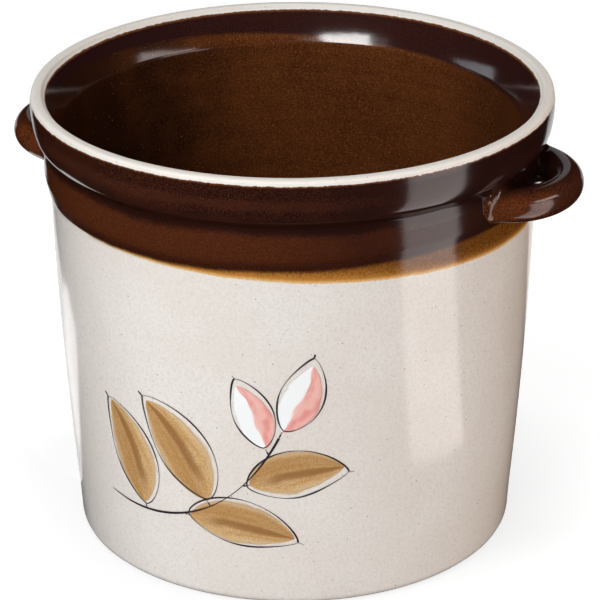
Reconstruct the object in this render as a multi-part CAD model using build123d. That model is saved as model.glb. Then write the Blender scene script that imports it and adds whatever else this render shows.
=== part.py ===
from build123d import *
from math import ceil, cos, pi, radians, sin, sqrt
import os

# Stoneware utensil crock, in millimetres.
# The origin is at the middle of the foot, +Z is up and the two lugs lie along +X and -X.
# A depth is measured down from the lip. An azimuth is in degrees from the front, -Y, towards +X.

# Thrown body
body_height = 161.0
wall_top_radius = 83.9        # outside, where the raised band has run out into the wall
wall_taper = 6.9              # how much narrower the wall is at its foot
wall_bulge = 1.15             # how far the wall bows out from a straight cone
wall_thickness = 4.8
foot_round = 5.5

# Collar, groove and raised band: a rise is how far each stands out from the top of the wall
collar_rise = 5.8
collar_depth = 18.6           # to the collar's lower edge
collar_upright = 3.0          # upright stretch under the lip
collar_tuck = 3.5             # how far the collar curves in at its lower edge
groove_rise = 0.5
groove_under_collar = 2.1
band_rise = 1.7
band_under_groove = 4.8       # to the middle of its flat
band_half_width = 3.0
band_lower_round = 12.0
wall_under_band = 10.5        # from the band's middle to where the wall starts
lip_thickness = 3.5
lip_outer_round = 1.3
lip_inner_round = 1.1

# Hollow
shoulder_depth = 13.4         # edge where the flared mouth meets the inner wall
shoulder_round = 3.0
floor_thickness = 6.0
floor_corner_round = 9.0

# Underside
foot_ring_width = 9.0
foot_hollow_depth = 1.2
foot_hollow_slope = 2.0

# Glaze coats
glaze_thickness = 0.4
outer_bare_lip = 1.4          # bare clay between the lip and the collar's glaze
inner_bare_lip = 2.0
collar_line_under_band = 5.3  # from the band's middle to the dark glaze's lower line, on average
collar_line_drop = 3.4        # how much lower than that it runs on its low side
collar_line_low_azimuth = -18.5
honey_line_under_band = 12.6
honey_line_drop = 3.9
honey_line_low_azimuth = 116.5

# Pulled lugs
lug_projection = 18.0         # from the raised band to the lug's outer edge
lug_loop_radius = 25.2        # of the strap's middle line
lug_strap_width = 10.6        # radially
lug_strap_height = 11.4
lug_over_band = 0.7           # from the band's middle up to the lug's
lug_root_flare_share = 0.5    # how much thicker the strap grows towards its ends
lug_half_turn = 90.0          # degrees of loop each side of the lug's tip
lug_stations = 5              # sections each side of the tip
lug_flats = 16                # flats round the oval of a section

# Making
flat_error = 0.3              # how far a flat may stand off the curve that it follows
cutting_overrun = 4.0

groove_depth = collar_depth + groove_under_collar
band_depth = groove_depth + band_under_groove
wall_top_depth = band_depth + wall_under_band
wall_foot_radius = wall_top_radius - wall_taper
band_radius = wall_top_radius + band_rise
groove_radius = wall_top_radius + groove_rise
lip_radius = wall_top_radius + collar_rise


def height_at(depth):
    return body_height - depth


def face_within(*curves):
    return make_face([edge for curve in curves for edge in curve.edges()])


def rounded(face, corner, size):
    """The flat face with the corner at this point rounded."""
    nearest = face.vertices().sort_by_distance(corner)[0]
    return fillet(nearest, size)


def in_flats(face):
    """The flat face with each curve of its outline laid out in short straight stretches."""
    points = []
    for edge in face.face().outer_wire().order_edges():
        turn = radians((edge % 0).get_angle(edge % 1))
        count = max(1, ceil(sqrt(edge.length * turn / flat_error / 8)))
        stops = [edge @ (stop / count) for stop in range(count + 1)]
        if points and (stops[0] - points[-1]).length > (stops[-1] - points[-1]).length:
            stops.reverse()
        points = points[:-1] + stops if points else stops
    return make_face(Polyline(*points[:-1], close=True).edges())


def outside_face(coat=0):
    """Half section of the outer form as if it were solid, with X as the radius and Y as the height."""
    foot_edge = Vector(wall_foot_radius - foot_round, 0)
    wall_foot = Vector(wall_foot_radius + coat, foot_round)
    wall_top = Vector(wall_top_radius + coat, height_at(wall_top_depth))
    wall_control = (wall_top + wall_foot) / 2 + Vector(2 * wall_bulge, 0)
    band_low = Vector(band_radius + coat, height_at(band_depth + band_half_width))
    band_high = Vector(band_radius + coat, height_at(band_depth - band_half_width))
    groove = Vector(groove_radius + coat, height_at(groove_depth))
    collar_low = Vector(lip_radius - collar_tuck + coat, height_at(collar_depth))
    collar_high = Vector(lip_radius + coat, height_at(collar_upright))
    lip_edge = Vector(lip_radius + coat, body_height)
    face = face_within(
        TangentArc(foot_edge, wall_foot, tangent=(1, 0)),
        Bezier(wall_foot, wall_control, wall_top),
        Polyline(wall_top, band_low, band_high, groove, collar_low),
        TangentArc(collar_high, collar_low, tangent=(0, -1)),
        Polyline(collar_high, lip_edge, (0, body_height), (0, 0), foot_edge),
    )
    face = rounded(face, band_low, band_lower_round)
    return rounded(face, lip_edge, lip_outer_round)


def hollow_face(coat=0):
    """Half section of the hollow, from the flared mouth down to the floor."""
    mouth = Vector(lip_radius - lip_thickness - coat, body_height)
    shoulder = Vector(groove_radius - wall_thickness - coat, height_at(shoulder_depth))
    corner = Vector(wall_foot_radius - wall_thickness - coat, floor_thickness + coat)
    face = face_within(Polyline((0, body_height), mouth, shoulder, corner, (0, corner.Y), close=True))
    face = rounded(face, shoulder, shoulder_round)
    return rounded(face, corner, floor_corner_round)


def underside_face():
    """Half section of the shallow hollow inside the foot ring."""
    ring_inner = wall_foot_radius - foot_round - foot_ring_width
    slope_top = Vector(ring_inner - foot_hollow_slope, foot_hollow_depth)
    return face_within(Polyline((0, 0), (ring_inner, 0), slope_top, (0, slope_top.Y), close=True))


def clay_section():
    clay = outside_face() - hollow_face() - underside_face()
    return rounded(clay, Vector(lip_radius - lip_thickness, body_height), lip_inner_round)


def thrown(face):
    """The solid that the section makes on the wheel."""
    return revolve(Plane.XZ * in_flats(face), Axis.Z)


def strip(height_from, height_to):
    """Strip of the section between two heights, from the axis to past the lip."""
    width = lip_radius + cutting_overrun
    height = height_to - height_from
    return Pos(width / 2, height_from + height / 2) * Rectangle(width, height)


def outside_coat_section():
    glazed = strip(foot_round, height_at(outer_bare_lip))
    return (outside_face(glaze_thickness) - outside_face()) & glazed


def liner_section():
    glazed = strip(0, height_at(inner_bare_lip))
    return (hollow_face() - hollow_face(glaze_thickness)) & glazed


def glaze_bath(depth, drop, low_azimuth):
    """Everything under the tilted line up to which the crock was dipped in a glaze."""
    angle = radians(low_azimuth)
    normal = Vector(sin(angle) * drop, -cos(angle) * drop, wall_top_radius)
    surface = Plane(origin=(0, 0, height_at(depth)), z_dir=normal)
    side = 2 * (lip_radius + cutting_overrun)
    return surface * Box(side, side, body_height, align=(Align.CENTER, Align.CENTER, Align.MAX))


def oval(width, height):
    """Oval of flats, width by height."""
    turns = [2 * pi * flat / lug_flats for flat in range(lug_flats)]
    return make_face(Polyline(*[(width / 2 * cos(t), height / 2 * sin(t)) for t in turns], close=True).edges())


def lug_strap():
    """Strap of the right lug before it is trimmed to the wall, thicker towards both its ends."""
    reach = band_radius + lug_projection
    centre = Vector(reach - lug_strap_width / 2 - lug_loop_radius, 0, height_at(band_depth - lug_over_band))
    sections = []
    for station in range(-lug_stations, lug_stations + 1):
        share = station / lug_stations
        turn = radians(share * lug_half_turn)
        outward = Vector(cos(turn), sin(turn), 0)
        plane = Plane(origin=centre + outward * lug_loop_radius, x_dir=outward, z_dir=Vector(-sin(turn), cos(turn), 0))
        swell = 1 + lug_root_flare_share * share ** 4
        sections.append(plane * oval(lug_strap_width * swell, lug_strap_height * swell))
    return loft(sections, ruled=True)


def build():
    """The crock's pieces by name. The pale glaze under the honey line is the body's own surface."""
    outer_form = thrown(outside_face())
    lug_right = lug_strap() - outer_form
    lug_left = lug_strap().rotate(Axis.Z, 180) - outer_form
    under_collar = glaze_bath(band_depth + collar_line_under_band, collar_line_drop, collar_line_low_azimuth)
    under_honey = glaze_bath(band_depth + honey_line_under_band, honey_line_drop, honey_line_low_azimuth)
    brown_coat = thrown(outside_coat_section()) - lug_right - lug_left - under_honey
    return {
        "crock_body": thrown(clay_section()),
        "lug_right": lug_right,
        "lug_left": lug_left,
        "liner_glaze": thrown(liner_section()),
        "collar_glaze": brown_coat - under_collar,
        "honey_glaze_band": brown_coat & under_collar,
    }


os.makedirs("parts", exist_ok=True)
for node, shape in build().items():
    export_step(shape, f"parts/{node}.step")
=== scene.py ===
from math import atan2, cos, hypot, pi, radians, sin, sqrt, tan

import bmesh
import bpy
from mathutils import Matrix, Quaternion, Vector


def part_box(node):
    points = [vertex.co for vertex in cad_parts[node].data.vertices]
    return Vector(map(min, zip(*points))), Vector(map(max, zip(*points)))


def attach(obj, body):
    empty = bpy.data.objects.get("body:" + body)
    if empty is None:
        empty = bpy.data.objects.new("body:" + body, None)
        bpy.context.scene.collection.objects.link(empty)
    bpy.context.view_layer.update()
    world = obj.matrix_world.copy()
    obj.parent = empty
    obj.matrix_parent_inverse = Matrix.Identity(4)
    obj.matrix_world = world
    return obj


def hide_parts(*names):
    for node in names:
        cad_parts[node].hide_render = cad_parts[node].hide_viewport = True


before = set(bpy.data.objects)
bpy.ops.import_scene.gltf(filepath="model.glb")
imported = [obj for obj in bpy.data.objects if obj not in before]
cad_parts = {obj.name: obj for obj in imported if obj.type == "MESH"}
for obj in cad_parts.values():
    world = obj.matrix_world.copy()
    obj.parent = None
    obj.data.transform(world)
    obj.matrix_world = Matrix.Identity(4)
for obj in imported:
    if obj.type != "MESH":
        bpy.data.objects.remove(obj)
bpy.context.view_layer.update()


# Body: the crock itself is thrown on the wheel in one piece of pale stoneware, with a foot ring, a bowed wall, a raised
# band, a groove, a rolled collar and a flared mouth. It is dipped foot down in a pale glaze, and its lip and foot ring
# are wiped bare. A depth is measured down from the lip, and a rise out from the top of the wall.
mm = 0.001
_, body_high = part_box("crock_body")
lip_radius = body_high.x
lip_height = body_high.z
lip_thickness = 3.5 * mm
lip_inner_round = 1.1 * mm
lip_outer_round = 1.3 * mm
collar_rise = 5.8 * mm
collar_depth = 16.4 * mm
collar_upright = 3.0 * mm
collar_tuck = 3.5 * mm
collar_turn_share = 0.86        # how far down the collar it turns in
groove_rise = 0.5 * mm
groove_depth = 18.3 * mm
groove_round = 0.7 * mm
band_rise = 1.7 * mm
band_top_depth = 21.7 * mm
band_top_round = 5 * mm
band_foot_depth = 28.5 * mm
band_foot_round = 6 * mm
band_warm_depth = 26.5 * mm     # where the band's glaze is at its reddest
wall_top_radius = lip_radius - collar_rise
wall_top_depth = 36.0 * mm
wall_top_round = 6 * mm
wall_taper = 7.3 * mm
wall_foot_radius = wall_top_radius - wall_taper
wall_bulge = 1.15 * mm
wall_thickness = 4.8 * mm
shoulder_depth = 12.6 * mm
shoulder_round = 5 * mm
floor_thickness = 6.0 * mm
floor_corner_round = 9 * mm
foot_round = 3.8 * mm
foot_ring_width = 9.0 * mm
foot_hollow_depth = 1.2 * mm
foot_hollow_slope = 2.0 * mm
coat_thickness = 0.4 * mm
wheel_steps = 240
wall_steps = 14
collar_steps = 9
weld_gap = 0.01 * mm
sharp_from = radians(35)


def at_depth(depth):
    """Height of what lies this far under the lip."""
    return lip_height - depth


def along_bow(start, control, end, steps):
    """Points of the curve that leaves start and reaches end, both towards control."""
    shares = [step / steps for step in range(steps + 1)]
    return [start * (1 - s) ** 2 + control * 2 * s * (1 - s) + end * s ** 2 for s in shares]


def softened(corners, steps=5):
    """The outline through these (point, rounding) corners, with an arc for each rounding."""
    outline = []
    for index, (corner, rounding) in enumerate(corners):
        if not rounding:
            outline.append(corner)
            continue
        before = (corners[index - 1][0] - corner).normalized()
        after = (corners[index + 1][0] - corner).normalized()
        half_angle = before.angle(after) / 2
        reach = rounding / tan(half_angle)
        centre = corner + (before + after).normalized() * rounding / sin(half_angle)
        start, end = corner + before * reach, corner + after * reach
        for step in range(steps + 1):
            spoke = (start - centre).lerp(end - centre, step / steps)
            outline.append(centre + spoke.normalized() * rounding)
    return outline


def outer_corners(coat):
    """Corners of the outside from foot to lip, each with its rounding, under a glaze of this thickness."""
    out = Vector((coat, 0))
    foot = Vector((wall_foot_radius, foot_round)) + out
    wall_top = Vector((wall_top_radius, at_depth(wall_top_depth))) + out
    bow = (foot + wall_top) / 2 + Vector((2 * wall_bulge, 0))
    band_foot = Vector((wall_top_radius + band_rise, at_depth(band_foot_depth))) + out
    band_top = Vector((wall_top_radius + band_rise, at_depth(band_top_depth))) + out
    groove = Vector((wall_top_radius + groove_rise, at_depth(groove_depth))) + out
    collar_low = Vector((lip_radius - collar_tuck, at_depth(collar_depth))) + out
    collar_turn = Vector((lip_radius, at_depth(collar_depth * collar_turn_share))) + out
    collar_high = Vector((lip_radius, at_depth(collar_upright))) + out
    wall = [(point, 0) for point in along_bow(foot, bow, wall_top, wall_steps)[1:-1]]
    collar = [(point, 0) for point in along_bow(collar_low, collar_turn, collar_high, collar_steps)[1:]]
    return [
        (foot, 0),
        *wall,
        (wall_top, wall_top_round),
        (band_foot, band_foot_round),
        (band_top, band_top_round),
        (groove, groove_round),
        (collar_low, groove_round),
        *collar,
    ]


def inner_corners(coat):
    """Corners of the hollow, from the mouth down to the middle of the floor."""
    wall_top = wall_top_radius + groove_rise - wall_thickness - coat
    wall_foot = wall_foot_radius - wall_thickness - coat
    return [
        (Vector((lip_radius - lip_thickness - coat, lip_height)), 0),
        (Vector((wall_top, at_depth(shoulder_depth))), shoulder_round),
        (Vector((wall_foot, floor_thickness + coat)), floor_corner_round),
        (Vector((0, floor_thickness + coat)), 0),
    ]


def thrown(outline):
    """A shape whose half outline, as radius and height, is turned round the crock's axis."""
    shape = bmesh.new()
    ring = [shape.verts.new((point.x, 0, point.y)) for point in outline]
    edges = [shape.edges.new(pair) for pair in zip(ring, ring[1:])]
    if outline[0].x > 0:
        edges.append(shape.edges.new((ring[-1], ring[0])))
    bmesh.ops.spin(shape, geom=ring + edges, cent=(0, 0, 0), axis=(0, 0, 1), angle=2 * pi,
                   steps=wheel_steps, use_merge=True, use_duplicate=False)
    bmesh.ops.remove_doubles(shape, verts=shape.verts, dist=weld_gap)
    bmesh.ops.recalc_face_normals(shape, faces=shape.faces)
    return shape


def finished(shape, name, material, slot, *nodes):
    """The piece made of this shape, riding the crock in place of these solids."""
    for face in shape.faces:
        face.smooth = True
    for edge in shape.edges:
        edge.smooth = edge.calc_face_angle(0) < sharp_from
    mesh = bpy.data.meshes.new(name)
    shape.to_mesh(mesh)
    shape.free()
    piece = bpy.data.objects.new(name, mesh)
    bpy.context.collection.objects.link(piece)
    mesh.materials.append(material)
    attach(piece, "root")
    if nodes:
        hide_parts(*nodes)


class Flow:
    """A value running through a material: sums and products of it add the Math nodes."""

    def __init__(self, tree, socket=None):
        self.tree, self.socket = tree, socket

    def node(self, kind, settings=(), **sockets):
        """A node of this kind with its settings, its sockets set or linked by name or number."""
        made = self.tree.nodes.new("ShaderNode" + kind)
        for name, value in dict(settings).items():
            setattr(made, name, value)
        for name, value in sockets.items():
            spot = made.inputs[int(name[1:]) if name[1:].isdigit() else name.replace("_", " ")]
            if isinstance(value, Flow):
                self.tree.links.new(value.socket, spot)
            else:
                spot.default_value = value
        return made

    def flow(self, kind, settings=(), out=0, **sockets):
        """What comes out of such a node."""
        return Flow(self.tree, self.node(kind, settings, **sockets).outputs[out])

    def maths(self, operation, other=0.0):
        return self.flow("Math", {"operation": operation}, i0=self, i1=other)

    def __add__(self, other):
        return self.maths("ADD", other)

    def __sub__(self, other):
        return self.maths("SUBTRACT", other)

    def __rsub__(self, other):
        return self * -1 + other

    def __mul__(self, other):
        return self.maths("MULTIPLY", other)

    __radd__, __rmul__ = __add__, __mul__

    def above(self, start, end):
        """0 up to start, 1 from end on, and a smooth slope between."""
        return self.flow("MapRange", {"interpolation_type": "SMOOTHSTEP"}, i0=self, i1=start, i2=end, i3=0.0, i4=1.0)

    def near(self, middle, start, end):
        """1 up to start away from middle, 0 from end on, and a smooth slope between."""
        return 1 - (self - middle).maths("ABSOLUTE").above(start, end)

    def axis(self, index):
        return self.flow("SeparateXYZ", out=index, i0=self)

    def noise(self, scale, detail=2.0, roughness=0.5, stretch=(1, 1, 1)):
        """Noise at these stretched coordinates, mostly from 0.3 to 0.7."""
        place = self.flow("VectorMath", {"operation": "MULTIPLY"}, i0=self, i1=stretch)
        return place.flow("TexNoise", Vector=place, Scale=scale, Detail=detail, Roughness=roughness)

    def specks(self, scale, start, end):
        """Round specks at these coordinates: 1 up to start from the middle of each, and 0 from end on."""
        return 1 - self.flow("TexVoronoi", {"feature": "F1"}, Vector=self, Scale=scale).above(start, end)

    def mix(self, first, second):
        """Colour between first, where this value is 0, and second, where it is 1."""
        return self.flow("Mix", {"data_type": "RGBA", "clamp_factor": True}, out=2, i0=self, i6=first, i7=second)


def colour(red, green, blue):
    """A colour as the screen's 0 to 255 values, turned to linear light."""
    shares = [value / 255 for value in (red, green, blue)]
    return (*[s / 12.92 if s <= 0.04045 else ((s + 0.055) / 1.055) ** 2.4 for s in shares], 1.0)


def started(name):
    """A new material, its object coordinates in millimetres, and its glossy shader."""
    material = bpy.data.materials.new(name)
    material.use_nodes = True
    place = Flow(material.node_tree).flow("TexCoord", out="Object")
    place = place.flow("VectorMath", {"operation": "SCALE"}, i0=place, i3=1 / mm)
    return material, place, material.node_tree.nodes["Principled BSDF"]


def fired(shader, paint, roughness, relief):
    """Gives the shader its colour, its roughness and its relief in millimetres."""
    links = paint.tree.links
    links.new(paint.socket, shader.inputs["Base Color"])
    if isinstance(roughness, Flow):
        links.new(roughness.socket, shader.inputs["Roughness"])
    else:
        shader.inputs["Roughness"].default_value = roughness
    bump = relief.flow("Bump", Height=relief, Distance=mm, Strength=1.0)
    links.new(bump.socket, shader.inputs["Normal"])


# the tilted lines of the two dips: mean depth and drop in millimetres, and the low side's azimuth in degrees
collar_line = 30.8, 3.4, -18.5
honey_line = 38.1, 3.9, 116.5


def over_line(place, line):
    """How far, in millimetres, a spot of the crock is above the tilted line that a dip in glaze left."""
    depth, drop, low_azimuth = line
    turn = radians(low_azimuth)
    slope = (place.axis(0) * sin(turn) - place.axis(1) * cos(turn)) * (drop / (wall_top_radius / mm))
    return place.axis(2) + slope - (lip_height / mm - depth)


def pale_glaze(place):
    """Colour of the pale glaze: milky, faintly mottled, with a few dark specks of iron."""
    cloud = place.noise(0.03, 3, 0.5)
    weave = place.noise(1.0, 5, 0.8)
    pale = cloud.above(0.35, 0.65).mix(colour(233, 228, 223), colour(229, 222, 216))
    pale = (weave.above(0.42, 0.66) * 0.6).mix(pale, colour(212, 202, 192))
    pale = (place.specks(0.7, 0.04, 0.13) * 0.4).mix(pale, colour(158, 142, 128))
    iron = place.specks(0.36, 0.035, 0.105) * place.noise(0.36, 0, 0).above(0.44, 0.56)
    return (iron * 0.85).mix(pale, colour(76, 60, 52))


def amber_glaze(place, over_honey, grain):
    """Colour of the brown glaze where it thins over the pale one: a light edge, then amber with a fine grain, with
    painted shade on the right side.
    """
    amber = over_honey.above(0.2, 1.5).mix(colour(226, 182, 116), colour(192, 130, 58))
    amber = over_honey.above(1.6, 6.0).mix(amber, colour(134, 82, 29))
    # painted shade: the amber is darkened towards the right side of the crock, where less light falls
    painted_shade_right = place.axis(0).above(40.0, 78.0) * over_honey.above(-0.4, 3.6)
    amber = (painted_shade_right * 0.85).mix(amber, colour(92, 53, 18))
    dark_grain = grain.above(0.45, 0.6) * over_honey.above(0.8, 2.6)
    amber = (dark_grain * 0.65).mix(amber, colour(84, 45, 13))
    light_grain = (1 - grain.above(0.38, 0.5)) * over_honey.above(0.8, 2.4)
    return (light_grain * 0.45).mix(amber, colour(158, 104, 38))


def dark_glaze(place, over_dark, drift, grain, streak):
    """Colour of the thick brown glaze: redder on the band and nearly black along its lower edge, with painted shade in
    the groove and on the right side.
    """
    height = place.axis(2)
    cloud = place.noise(0.09, 3, 0.6)
    brown = (streak + cloud).above(0.85, 1.15).mix(colour(43, 19, 14), colour(31, 14, 12))
    from_lip = lip_height / mm - height + drift * 5
    brown = (from_lip.near(9.0, 0.5, 3.5) * 0.2).mix(brown, colour(90, 48, 30))
    brown = (from_lip.near(4.6, 0.8, 3.0) * 0.7).mix(brown, colour(36, 15, 11))
    on_band = (height + drift * 6).near(at_depth(band_warm_depth) / mm, 4.0, 8.5)
    brown = (on_band * 0.75).mix(brown, colour(73, 34, 16))
    brown = (grain.above(0.44, 0.62) * (on_band * 0.16 + 0.24)).mix(brown, colour(104, 56, 29))
    # painted shade: the brown is darkened towards the right side of the crock, where less light falls
    shade_painted_right = (place.axis(0) + drift * 50).above(15.0, 85.0)
    brown = (shade_painted_right * 0.85).mix(brown, colour(34, 16, 15))
    # painted shade: the recess of the groove is darkened nearly to black
    painted_groove_shade = (height + drift * 2).near(at_depth(groove_depth) / mm, 0.8, 3.6)
    brown = (painted_groove_shade * 0.75).mix(brown, colour(30, 12, 8))
    low_edge = over_dark.above(0.2, 1.0) * (1 - over_dark.above(2.0, 4.6))
    return (low_edge * 0.5).mix(brown, colour(38, 15, 11))


def wiped_clay(place):
    """Colour of the wiped lip: pale clay with faint rings from the wheel and a few dark specks."""
    radius = place.flow("VectorMath", {"operation": "MULTIPLY"}, i0=place, i1=(1, 1, 0))
    radius = radius.flow("VectorMath", {"operation": "LENGTH"}, out=1, i0=radius)
    rings = radius.flow("TexNoise", {"noise_dimensions": "1D"}, W=radius * 1.6, Scale=1.0, Detail=3.0)
    dusty = place.noise(1.6, 4, 0.7).above(0.45, 0.7)
    clay = (dusty * 0.35 + rings.above(0.5, 0.6) * 0.3).mix(colour(226, 221, 214), colour(206, 196, 186))
    dark = place.specks(0.5, 0.05, 0.12) * place.noise(0.3, 0, 0).above(0.5, 0.6)
    return dark.mix(clay, colour(90, 70, 56))


def outside_glaze(name):
    """The finish of the outside: bare lip, dark brown, amber where it thins over the pale glaze, bare foot, painted
    shade above it.
    """
    material, place, shader = started(name)
    height = place.axis(2)
    drift = place.noise(0.045, 3, 0.55) - 0.5
    ragged = place.noise(0.9, 3, 0.6) - 0.5
    grain = place.noise(1.7, 3, 0.75)
    streak = place.noise(0.3, 3, 0.6, stretch=(0.04, 0.04, 1))

    over_honey = over_line(place, honey_line) + drift * 1.2 + ragged
    paint = over_honey.above(-0.15, 0.15).mix(pale_glaze(place), amber_glaze(place, over_honey, grain))
    over_dark = over_line(place, collar_line) + drift * 2.4 + ragged * 0.9
    paint = over_dark.above(-1.3, 0.6).mix(paint, dark_glaze(place, over_dark, drift, grain, streak))

    to_lip = height + (place.noise(0.5, 3, 0.6) - 0.5) - lip_height / mm
    wiped = to_lip.above(-1.9, -1.7)
    paint = (to_lip.above(-2.6, -1.9) * 0.55).mix(paint, colour(124, 70, 32))
    paint = wiped.mix(paint, wiped_clay(place))

    over_foot = height + ragged
    foot_bare = 1 - over_foot.above(0.7, 1.0)
    # painted shade: a grey band just above the bare foot, where the wall turns under towards the floor
    paint = ((1 - over_foot.above(1.0, 2.0)) * 0.4).mix(paint, colour(166, 154, 142))
    paint = foot_bare.mix(paint, colour(212, 203, 192))

    matt = wiped.maths("MAXIMUM", foot_bare)
    relief = streak * 0.02 + place.noise(0.11, 2, 0.5) * 0.04 + grain * 0.0015 + place.noise(0.6, 2, 0.5) * 0.005
    fired(shader, paint, matt * 0.5 + 0.13, relief)
    return material


(mouth, _), *hollow = inner_corners(0)
foot_inner = wall_foot_radius - foot_round - foot_ring_width
body_corners = [
    *reversed(hollow),
    (mouth, lip_inner_round),
    (Vector((lip_radius, lip_height)), lip_outer_round),
    *reversed(outer_corners(0)[1:]),
    (Vector((wall_foot_radius, 0)), foot_round),
    (Vector((foot_inner, 0)), 0),
    (Vector((foot_inner - foot_hollow_slope, foot_hollow_depth)), 0),
    (Vector((0, foot_hollow_depth)), 0),
]
body_finish = outside_glaze("pale_glaze_and_bare_clay")
finished(thrown(softened(body_corners)), "crock_body_thrown", body_finish, "cream_glaze", "crock_body")


# Lining: the hollow is lined with a brown glaze, poured in and swirled out, thin enough to show its grain on the wall;
# it is darker towards the floor, with painted shade at both sides of the view. It is wiped off just under the lip.
lining_top_depth = 1.7 * mm
lining_back_depth = 1.2 * mm
shoulder_line = 10.6, 4.2, 111.5    # under the darker flare, told like the lines of the dips
view_azimuth = 21.5                 # degrees from the front of the crock to the camera, towards +X


def lining_glaze(name):
    """The finish inside: a grainy brown, darker low down and on the flare, with painted shade at both sides of the
    view.
    """
    material, place, shader = started(name)
    height = place.axis(2)
    grain = place.noise(1.6, 4, 0.8)
    streak = place.noise(0.25, 3, 0.6, stretch=(0.04, 0.04, 1))
    cloud = place.noise(0.05, 3, 0.6)
    brown = (streak + cloud).above(0.8, 1.2).mix(colour(86, 45, 21), colour(73, 37, 18))
    brown = (grain.above(0.45, 0.62) * 0.66).mix(brown, colour(132, 78, 38))
    # darker low down, towards the floor
    brown = (1 - height.above(15.0, 70.0)).mix(brown, colour(50, 24, 13))
    turn = radians(view_azimuth)
    to_left = place.axis(0) * -cos(turn) - place.axis(1) * sin(turn)
    # painted shade: the inner wall on the left of the view, which faces away from the light, is darkened
    brown = ((to_left + (cloud - 0.5) * 60).above(5.0, 72.0) * 0.88).mix(brown, colour(30, 13, 9))
    # painted shade: the inner wall on the right of the view is darkened too
    brown = ((0 - to_left).above(54.0, 76.0) * 0.5).mix(brown, colour(34, 15, 9))
    flare = over_line(place, shoulder_line).above(0.0, 1.6)
    brown = (flare * 0.9).mix(brown, colour(40, 19, 20))
    light = place.specks(0.5, 0.035, 0.115) * place.noise(0.4, 0, 0).above(0.5, 0.58) * (1 - flare * 0.8)
    brown = (light * 0.85).mix(brown, colour(190, 134, 72))
    to_lip = height + (place.noise(0.55, 3, 0.6) - 0.5) * 0.7 - lip_height / mm
    brown = (to_lip.above(-2.6, -1.9) * 0.6).mix(brown, colour(128, 76, 40))
    wiped = to_lip.above(-1.75, -1.55)
    paint = wiped.mix(brown, colour(226, 221, 214))
    relief = streak * 0.02 + place.noise(0.11, 2, 0.5) * 0.05 + place.noise(0.6, 2, 0.5) * 0.006 + grain * 0.003
    fired(shader, paint, wiped * 0.45 + 0.12, relief)
    return material


def lowered_mouth(corners, depth):
    """The hollow's corners, the first brought down its flare to this depth under the lip."""
    (top, _), (shoulder, rounding), *rest = corners
    return [(top.lerp(shoulder, depth / (top.y - shoulder.y)), 0), (shoulder, rounding), *rest]


lining_inside = softened(lowered_mouth(inner_corners(coat_thickness), lining_top_depth))
lining_back = softened(lowered_mouth(inner_corners(0), lining_back_depth))
lining = thrown([*reversed(lining_inside), *lining_back])
finished(lining, "liner_glaze_poured", lining_glaze("lining_brown_glaze"), "liner_glaze", "liner_glaze")


# Brown dip: the mouth is then dipped upside down in brown glaze, tilted a little, so its edge runs lower on one side.
# The coat is thick and dark over collar, groove and band, and leaves an amber strip where it thins over the pale one.
dip_top_depth = 1.2 * mm
dip_low_depth = 60.0 * mm           # the coat is thrown down to here and then cut along its lines
dip_rim_thickness = 0.05 * mm
honey_margin = 0.4 * mm             # of amber coat below the middle of its ragged line
feather_height = 2.6 * mm


def tilted_cut(line, lower=0.0):
    """A point and the upward normal of the plane in which a glaze line lies, this much lower."""
    depth, drop, low_azimuth = line
    turn = radians(low_azimuth)
    normal = Vector((sin(turn) * drop, -cos(turn) * drop, wall_top_radius / mm)).normalized()
    return Vector((0, 0, lip_height - depth * mm - lower)), normal


def along_dip(coat):
    """The outline of the outside over the height of the dip, under a glaze of this thickness."""
    low, top = at_depth(dip_low_depth), at_depth(dip_top_depth)
    return [point for point in softened(outer_corners(coat)) if low < point.y < top]


def dipped(*cuts):
    """The coat on the outside, kept above each of these cuts that is marked True and below the others."""
    top = at_depth(dip_top_depth)
    rim = [Vector((lip_radius + dip_rim_thickness, top)), Vector((lip_radius, top))]
    shape = thrown([*along_dip(coat_thickness), *rim, *reversed(along_dip(0))])
    for (spot, normal), above in cuts:
        everything = [*shape.verts, *shape.edges, *shape.faces]
        cut = bmesh.ops.bisect_plane(shape, geom=everything, plane_co=spot, plane_no=normal,
                                     clear_inner=above, clear_outer=not above)
        open_edges = [edge for edge in cut["geom_cut"] if isinstance(edge, bmesh.types.BMEdge)]
        bmesh.ops.bridge_loops(shape, edges=open_edges)
    return shape


dark_cut = tilted_cut(collar_line)
honey_cut = tilted_cut(honey_line, honey_margin)
dip_finish = outside_glaze("brown_dip_glaze")
finished(dipped((dark_cut, True), (honey_cut, True)), "collar_glaze_dipped", dip_finish, "brown_glaze", "collar_glaze")
honey = dipped((honey_cut, True), (dark_cut, False))
for vert in honey.verts:
    over = (vert.co - honey_cut[0]).dot(honey_cut[1]) / feather_height
    if over < 1:
        radius = hypot(vert.co.x, vert.co.y)
        thinned = coat_thickness * (1 - max(0, over)) ** 2
        vert.co.x *= (radius - thinned) / radius
        vert.co.y *= (radius - thinned) / radius
finished(honey, "honey_glaze_strip", dip_finish, "honey_glaze", "honey_glaze_band")


# Lugs: two straps of clay were pulled, bent to loops and luted level to the band, one each side. A finger smoothed each
# root into the wall. The strap's brown glaze has shade painted in on top, at the tip, inside the loop and underneath.
lug_low, lug_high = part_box("lug_right")
strap_width = 11.4 * mm
strap_height = 11.4 * mm
strap_facets = 72
loop_radius = 24.8 * mm             # of the strap's middle line
loop_steps = 150
root_widening = 1.3                 # share by which the inner half of the strap widens
root_lift = 1.4 * mm                # of the front root
root_fillet = 3.0 * mm
root_fillet_share = 0.6             # of the fillet, at the middle of the strap's side
root_fillet_least_share = 0.05      # of the fillet, along the strap's underside
root_depth = 2.5 * mm               # how deep the strap runs into the wall
root_ring = wall_top_radius + band_rise + coat_thickness
lug_height = (lug_low.z + lug_high.z) / 2
loop_centre = Vector((lug_high.x - strap_width / 2 - loop_radius, 0, lug_height))
glazed_outline = softened(outer_corners(coat_thickness))


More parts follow.
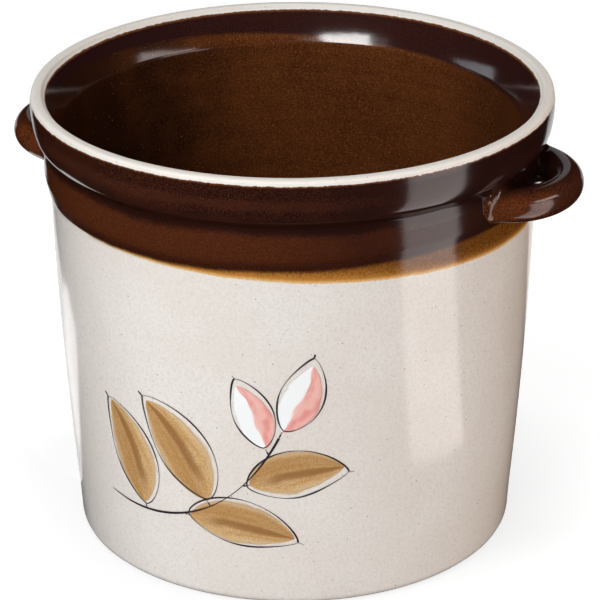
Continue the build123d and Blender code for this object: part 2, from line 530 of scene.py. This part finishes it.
def wall_radius_at(height):
    """Radius of the glazed outside at this height."""
    for low, high in zip(glazed_outline, glazed_outline[1:]):
        if low.y <= height < high.y:
            return low.lerp(high, (height - low.y) / (high.y - low.y)).x
    return lip_radius


def pulled_lug(on_left):
    """One strap bent to its loop, wider, lifted and smoothed into the wall at its roots."""
    shape = bmesh.new()
    section = bmesh.ops.create_circle(shape, segments=strap_facets, radius=0.5)["verts"]
    for vert in section:
        vert.co = loop_centre + Vector((loop_radius + vert.co.x * strap_width, 0, vert.co.y * strap_height))
    bmesh.ops.rotate(shape, verts=section, cent=loop_centre, matrix=Matrix.Rotation(-pi / 2, 3, "Z"))
    bmesh.ops.spin(shape, geom=section + shape.edges[:], cent=loop_centre, axis=(0, 0, 1), angle=pi, steps=loop_steps)
    for vert in shape.verts:
        from_centre = vert.co - loop_centre
        turn = atan2(from_centre.y, from_centre.x)
        outward = Vector((cos(turn), sin(turn), 0))
        middle = loop_centre + outward * loop_radius
        share = abs(turn / (pi / 2))
        spoke = vert.co - middle
        spoke += outward * min(0, spoke.dot(outward)) * root_widening * share ** 1.2
        lift = root_lift * share ** 3 if turn < 0 else 0
        vert.co = middle + spoke + Vector((0, 0, lift))
        wall = max(wall_radius_at(vert.co.z), root_ring)
        lean = 1 - (hypot(vert.co.x, vert.co.y) - wall) / root_fillet
        if lean > 0:
            smoothed = min(1, max(root_fillet_least_share, root_fillet_share + spoke.z / strap_height))
            vert.co += spoke.normalized() * root_fillet * smoothed * (1 - sqrt(1 - min(lean, 1) ** 2))
        radius = hypot(vert.co.x, vert.co.y)
        buried = max(radius, wall_radius_at(vert.co.z) - root_depth)
        vert.co.x *= buried / radius
        vert.co.y *= buried / radius
    bmesh.ops.holes_fill(shape, edges=[edge for edge in shape.edges if edge.is_boundary])
    bmesh.ops.recalc_face_normals(shape, faces=shape.faces)
    if on_left:
        bmesh.ops.rotate(shape, verts=shape.verts, cent=(0, 0, 0), matrix=Matrix.Rotation(pi, 3, "Z"))
    return shape


def lug_glaze(name):
    """The finish of the lugs: red-brown on the outer face, with painted shade inside the loop, on top, at the tip and
    below.
    """
    material, place, shader = started(name)
    grain = place.noise(1.7, 3, 0.75)
    brown = place.noise(0.1, 3, 0.6).above(0.4, 0.6).mix(colour(70, 33, 17), colour(44, 20, 14))
    brown = (grain.above(0.42, 0.62) * 0.6).mix(brown, colour(118, 62, 27))
    along = place.axis(0).maths("ABSOLUTE") - loop_centre.x / mm
    reach = (along * along + place.axis(1) * place.axis(1)).maths("SQRT") - loop_radius / mm
    over_middle = place.axis(2) - lug_height / mm
    # painted shade inside the loop, between the strap and the wall
    brown = ((1 - reach.above(-3.0, 2.0)) * 0.85).mix(brown, colour(28, 12, 9))
    # painted shade on top of the strap
    brown = (over_middle.above(3.4, 6.4) * 0.7).mix(brown, colour(34, 17, 15))
    # painted shade towards the tip of each loop
    brown = (along.above(23.0, 28.0) * 0.6).mix(brown, colour(42, 22, 20))
    # painted shade under the strap
    brown = (1 - over_middle.above(-5.6, -2.1)).mix(brown, colour(30, 13, 9))
    relief = place.noise(0.15, 2, 0.5) * 0.06 + place.noise(0.6, 2, 0.5) * 0.005 + grain * 0.0015
    fired(shader, brown, 0.13, relief)
    return material


lug_finish = lug_glaze("lug_brown_glaze")
finished(pulled_lug(False), "lug_right_pulled", lug_finish, "brown_glaze", "lug_right")
finished(pulled_lug(True), "lug_left_pulled", lug_finish, "brown_glaze", "lug_left")


# Painted sprig: on the front, before the last firing, a leafy sprig was brushed on, with ochre washes for the leaves,
# thick white and salmon slip for the buds, and then quick ink lines with a fine brush, which don't keep to the washes.
# Its places and sizes are in millimetres, across the wall from the sprig's middle and up from the foot.
sprig_azimuth = 1.0
wash_lift, slip_lift, ink_lift = 0.04, 0.08, 0.13
stroke_crown = 0.02                 # how much thicker the paint is along the middle of a stroke
leaf_steps, outline_steps, stalk_steps, stem_steps = 36, 60, 8, 90
steps_across = 8
look_ahead = 0.01                   # share of a line over which its heading is taken
stem_foot, stem_bend, stem_tip = Vector((-44, 31)), Vector((2, 22)), Vector((24, 66))
stalk_length = 2.5
leaf_lean = 0.9                     # below 1, a leaf is widest short of its middle
leaf_fullness = 0.72                # below 1, it is fuller than a pointed arch
outline_pen, stalk_pen, stem_pen = 0.32, 0.3, 0.45
ink_overrun = 2.0                   # how much longer an outline is than its leaf
ink_bend_share = 1.2                # of the leaf's bend, in its outline
ink_tail_share = 0.05               # of its length that one side of an outline runs on
ink_lifted_share = 0.3              # of its width that an ink line keeps where the brush is lifted
ink_presses = 1.3                   # times that the brush is pressed along a line
# each: place on the stem, heading in degrees, length, half width, bend, and how far its outline has slipped off it, to
# the right, up and in degrees
leaves = [
    (0.20, 112, 38, 9.8, -3.0, 0.8, -0.6, 2.5),
    (0.40, -8, 37, 9.0, 2.5, -0.6, 0.9, -3.0),
    (0.55, 124, 40, 10.5, -2.5, 0.9, 0.5, 2.0),
    (0.74, 12, 33, 9.0, 2.5, -0.7, -0.8, -2.5),
]
buds = [
    (1.00, 66, 27, 7.5, -1.2, 0.5, 0.6, 2.0),
    (0.92, 112, 25, 7.0, -1.0, -0.6, 0.4, -2.0),
]


def on_wall(across, up, lift):
    """The spot of the wall here, lifted off it by this much."""
    height = up * mm
    foot = Vector((wall_foot_radius, foot_round))
    wall_top = Vector((wall_top_radius, at_depth(wall_top_depth)))
    share = (height - foot.y) / (wall_top.y - foot.y)
    radius = foot.lerp(wall_top, share).x + 4 * wall_bulge * share * (1 - share) + lift * mm
    turn = radians(sprig_azimuth) + across * mm / radius
    return Vector((sin(turn) * radius, -cos(turn) * radius, height))


def brushed(shape, middle, half_width, lift, steps):
    """Adds one stroke: middle gives its line and half_width its half width, for shares from 0 to 1 along it."""
    strokes = shape.loops.layers.uv.get("stroke") or shape.loops.layers.uv.new("stroke")
    grid = bmesh.ops.create_grid(shape, x_segments=steps, y_segments=steps_across, size=1)["verts"]
    spots = {}
    for vert in grid:
        along, side = (vert.co.x + 1) / 2, vert.co.y
        ahead = middle(min(1, along + look_ahead)) - middle(max(0, along - look_ahead))
        spot = middle(along) + Vector((-ahead.y, ahead.x)).normalized() * side * half_width(along)
        spots[vert] = along, side
        vert.co = on_wall(spot.x, spot.y, lift + stroke_crown * (1 - side * side))
    for face in {face for vert in grid for face in vert.link_faces}:
        for loop in face.loops:
            along, side = spots[loop.vert]
            loop[strokes].uv = along, (side + 1) / 2


def stem_line(share):
    """The spot this share of the way up the stem."""
    return stem_foot * (1 - share) ** 2 + stem_bend * 2 * share * (1 - share) + stem_tip * share ** 2


def leaf_line(root, heading, length, bend):
    """The middle line of a leaf or bud that grows from root at this heading in degrees."""
    turn = radians(heading)
    forward, left = Vector((cos(turn), sin(turn))), Vector((-sin(turn), cos(turn)))
    return lambda share: root + forward * length * share + left * bend * 4 * share * (1 - share)


def leaf_width(widest):
    """Half width of a leaf or bud along it."""
    return lambda share: widest * max(0.0, sin(pi * min(1, share) ** leaf_lean)) ** leaf_fullness


def leaf_edge(line, width, side, tail):
    """The line of ink along one side of a leaf, which runs on past the leaf's tip by this share of its length."""
    def edge(share):
        share *= 1 + tail
        ahead = line(share + look_ahead) - line(share - look_ahead)
        left = Vector((-ahead.y, ahead.x)).normalized()
        return line(share) + left * side * width(share)
    return edge


def pen(thickest, offset=0.0):
    """Half width of an ink line that swells and thins as the brush is pressed and lifted, from this offset on."""
    def half_width(share):
        pressed = sin(pi * (share + offset) * ink_presses) ** 2
        return thickest * (ink_lifted_share + (1 - ink_lifted_share) * pressed)
    return half_width


def grown(paint, lift, place_on_stem, heading, length, widest, bend, right, up, tilt):
    """Adds a leaf or a bud: its stroke of paint, its outline in ink and its stalk."""
    root = stem_line(place_on_stem)
    start = root + Vector((cos(radians(heading)), sin(radians(heading)))) * stalk_length
    brushed(paint, leaf_line(start, heading, length, bend), leaf_width(widest), lift, leaf_steps)
    outline = leaf_line(start + Vector((right, up)), heading + tilt, length + ink_overrun, bend * ink_bend_share)
    for side in (1, -1):
        edge = leaf_edge(outline, leaf_width(widest), side, ink_tail_share if side * tilt > 0 else 0.0)
        brushed(ink, edge, pen(outline_pen, 0.2 * side), ink_lift, outline_steps)
    brushed(ink, lambda share: root.lerp(start, share), pen(stalk_pen), ink_lift, stalk_steps)


def brushwork(name):
    """A new material, its coordinates in millimetres, its shader, and how far along and across the stroke a spot is."""
    material, place, shader = started(name)
    stroke = place.flow("UVMap", {"uv_map": "stroke"})
    sway = stroke.noise(1, 2, 0.5, stretch=(4, 2, 1)) - 0.5
    across = stroke.axis(1) + sway * 0.12
    laid = across.near(0.5, 0.38, 0.49)
    place.tree.links.new(laid.socket, shader.inputs["Alpha"])
    return material, place, shader, stroke, across


def wash_paint(name):
    """Ochre washed on with a full brush: grainy, paler at the edges, with a darker streak where two strokes meet."""
    material, place, shader, stroke, across = brushwork(name)
    streak = stroke.noise(1, 3, 0.6, stretch=(2, 9, 1))
    grain = place.noise(1.9, 3, 0.8)
    ochre = streak.above(0.35, 0.62).mix(colour(216, 182, 134), colour(200, 158, 104))
    ochre = (across.above(0.5, 0.62) * 0.6).mix(ochre, colour(176, 130, 76))
    meeting = (across + streak * 0.06).near(0.47, 0.03, 0.15) * stroke.axis(0).above(0.02, 0.35)
    ochre = (meeting * 0.8).mix(ochre, colour(140, 94, 50))
    ochre = (grain.above(0.44, 0.6) * 0.45).mix(ochre, colour(146, 98, 50))
    margin = 1 - across.near(0.5, 0.3, 0.44)
    ochre = (margin * 0.6).mix(ochre, colour(226, 200, 160))
    fired(shader, ochre, 0.18, place.noise(0.11, 2, 0.5) * 0.04 + grain * 0.002)
    return material


def slip_paint(name):
    """White slip with a loaded stroke of salmon along its lower half."""
    material, place, shader, stroke, across = brushwork(name)
    streak = stroke.noise(1, 3, 0.6, stretch=(2, 12, 1))
    cloud = stroke.noise(1, 2, 0.5, stretch=(3, 3, 1))
    salmon = cloud.above(0.4, 0.6).mix(colour(240, 184, 174), colour(230, 152, 144))
    salmon = (streak.above(0.5, 0.7) * 0.5).mix(salmon, colour(246, 206, 198))
    paint = (across + (cloud - 0.5) * 0.3).above(0.44, 0.53).mix(salmon, colour(246, 247, 248))
    fired(shader, paint, 0.2, streak * 0.08 + cloud * 0.1)
    return material


def ink_paint(name):
    """Near-black ink, a little thinner in places."""
    material, place, shader = started(name)
    paint = place.noise(1.5, 3, 0.7).above(0.4, 0.7).mix(colour(30, 26, 30), colour(66, 58, 66))
    fired(shader, paint, 0.3, place.noise(2.0, 2, 0.5) * 0.01)
    return material


wash, slip, ink = bmesh.new(), bmesh.new(), bmesh.new()
for leaf in leaves:
    grown(wash, wash_lift, *leaf)
for bud in buds:
    grown(slip, slip_lift, *bud)
brushed(ink, stem_line, pen(stem_pen, 0.1), ink_lift, stem_steps)
finished(wash, "sprig_leaf_washes", wash_paint("ochre_wash"), "cream_glaze")
finished(slip, "sprig_bud_slips", slip_paint("white_and_salmon_slip"), "cream_glaze")
finished(ink, "sprig_ink_lines", ink_paint("iron_ink"), "cream_glaze")


# Studio: a plain pale floor in soft light from the front left. Pale cards on the floor, one upright at the right, and
# the dim windows of the room show only in the gloss: their reflections run down the wall, over the band, along the
# straps and round the flare. Spots are in metres.
def in_view(right, away, height=0.0):
    """The spot that the camera sees this far to the right of the crock's axis and behind it, and this high."""
    return Matrix.Rotation(radians(view_azimuth), 3, "Z") @ Vector((right, away, height))


def pale_card(name, corners, glow, tint=(1, 1, 1), **seen_by):
    """A plain sheet that glows this much; seen_by says which kinds of ray see it or don't."""
    shape = bmesh.new()
    shape.faces.new([shape.verts.new(in_view(*corner)) for corner in corners])
    mesh = bpy.data.meshes.new(name)
    shape.to_mesh(mesh)
    shape.free()
    white = bpy.data.materials.new(name)
    white.use_nodes = True
    shader = white.node_tree.nodes["Principled BSDF"]
    shader.inputs["Base Color"].default_value = (0.5, 0.5, 0.5, 1)
    shader.inputs["Roughness"].default_value = 0.9
    shader.inputs["Specular IOR Level"].default_value = 0.0
    shader.inputs["Emission Color"].default_value = (*tint, 1)
    shader.inputs["Emission Strength"].default_value = glow
    mesh.materials.append(white)
    card = bpy.data.objects.new(name, mesh)
    bpy.context.collection.objects.link(card)
    for ray, seen in seen_by.items():
        setattr(card, "visible_" + ray, seen)


def soft_light(name, spot, aim, width, height, power, tint=(1, 1, 1), diffuse=True, glossy=True):
    """A glowing panel of this width and height that faces aim; it may light the crock, show in its gloss, or both."""
    lamp = bpy.data.lights.new(name, "AREA")
    lamp.shape = "RECTANGLE"
    lamp.size, lamp.size_y = width, height
    lamp.energy = power
    lamp.color = tint
    light = bpy.data.objects.new(name, lamp)
    bpy.context.collection.objects.link(light)
    light.location = spot
    light.rotation_euler = (aim - spot).to_track_quat("-Z", "Y").to_euler()
    light.visible_diffuse, light.visible_glossy = diffuse, glossy


everywhere = [(-5, -4), (5, -4), (5, 6), (-5, 6)]
behind = [(-0.087, 0.014), (0.02, 0.05), (0.30, 0.33), (1.5, 2.0), (-1.5, 2.0),
          (-0.17, 0.27), (-0.182, 0.15), (-0.157, 0.09), (-0.126, 0.047)]
tucked = [(-0.10, 0.03, mm), (-0.13, 0.12, mm), (-0.18, 0.165, mm), (-0.203, 0.14, mm), (-0.192, 0.09, mm)]
beside = [(0.108, -0.104), (0.43, -0.417), (0.574, -0.175), (0.143, -0.044)]
upright = [(0.43, -0.417), (0.574, -0.175), (0.574, -0.175, 0.30), (0.43, -0.417, 0.30)]
rosy = 1, 0.9, 0.88
pale_card("studio_floor", everywhere, 0.80, glossy=False, diffuse=False, shadow=False)
pale_card("studio_bounce", everywhere, 0.0, camera=False, glossy=False, shadow=False)
pale_card("studio_card", behind, 0.6, camera=False, diffuse=False, shadow=False)
pale_card("studio_left_card", tucked, 1.05, camera=False, diffuse=False, shadow=False)
pale_card("studio_patch", beside, 2.1, rosy, camera=False, diffuse=False, shadow=False)
pale_card("studio_blind", upright, 2.6, rosy, camera=False, diffuse=False, shadow=False)

mid_wall = Vector((0, 0, 0.09))
left_flare = in_view(0.068, 0.044, 0.151)
soft_light("key_light", in_view(-0.59, -1.04, 0.90), mid_wall, 1.0, 0.6, 8.6, glossy=False)
soft_light("key_scrim", in_view(-0.58, -1.02, 0.88), mid_wall, 1.0, 0.4, 1.1, diffuse=False)
soft_light("key_core", in_view(-0.58, -0.98, 0.87), mid_wall, 0.54, 0.42, 13.5, diffuse=False)
soft_light("top_light", in_view(-0.4, -0.5, 1.3), mid_wall, 0.6, 0.5, 3.5, glossy=False)
soft_light("sky_light", in_view(0.05, -0.1, 1.6), mid_wall, 0.5, 0.4, 7.5, glossy=False)
soft_light("front_fill", in_view(0.28, -1.38, 0.16), mid_wall, 1.0, 0.8, 9.5, glossy=False)
soft_light("left_fill", in_view(-1.1, -0.1, 0.12), mid_wall, 0.8, 0.8, 4.4, (0.95, 0.97, 1), glossy=False)
soft_light("right_fill", in_view(1.1, 0.1, 0.12), mid_wall, 0.8, 0.8, 6.2, (1, 0.76, 0.6), glossy=False)
soft_light("far_window", in_view(0.95, -0.33, 0.60), mid_wall, 0.62, 0.2, 1.8, (1, 0.88, 0.85), diffuse=False)
soft_light("left_window", in_view(-0.018, 0.070, 0.173), left_flare, 0.026, 0.018, 0.0036, (0.88, 0.94, 1),
           diffuse=False)
soft_light("back_wall", in_view(0, 1.3, 0.65), mid_wall, 0.8, 1.2, 1.25, (0.93, 0.95, 1), diffuse=False)

world = bpy.data.worlds.new("studio_air")
bpy.context.scene.world = world
world.use_nodes = True
world.node_tree.nodes["Background"].inputs["Color"].default_value = (1, 1, 1, 1)
world.node_tree.nodes["Background"].inputs["Strength"].default_value = 0.02
world.cycles_visibility.glossy = False

camera_data = bpy.data.cameras.new("photo_camera")
camera_data.lens = 192
camera_data.sensor_width = 36
camera_data.shift_x = 0.0104
camera = bpy.data.objects.new("photo_camera", camera_data)
bpy.context.collection.objects.link(camera)
camera_aim = Vector((0, 0, 80.1 * mm))
camera_distance, camera_rise, camera_roll = 1.131, radians(23.92), radians(-0.36)
camera.location = camera_aim + in_view(0, -cos(camera_rise), sin(camera_rise)) * camera_distance
look = (camera_aim - camera.location).to_track_quat("-Z", "Y") @ Quaternion((0, 0, 1), camera_roll)
camera.rotation_euler = look.to_euler()
bpy.context.scene.camera = camera
bpy.context.scene.view_settings.view_transform = "Standard"
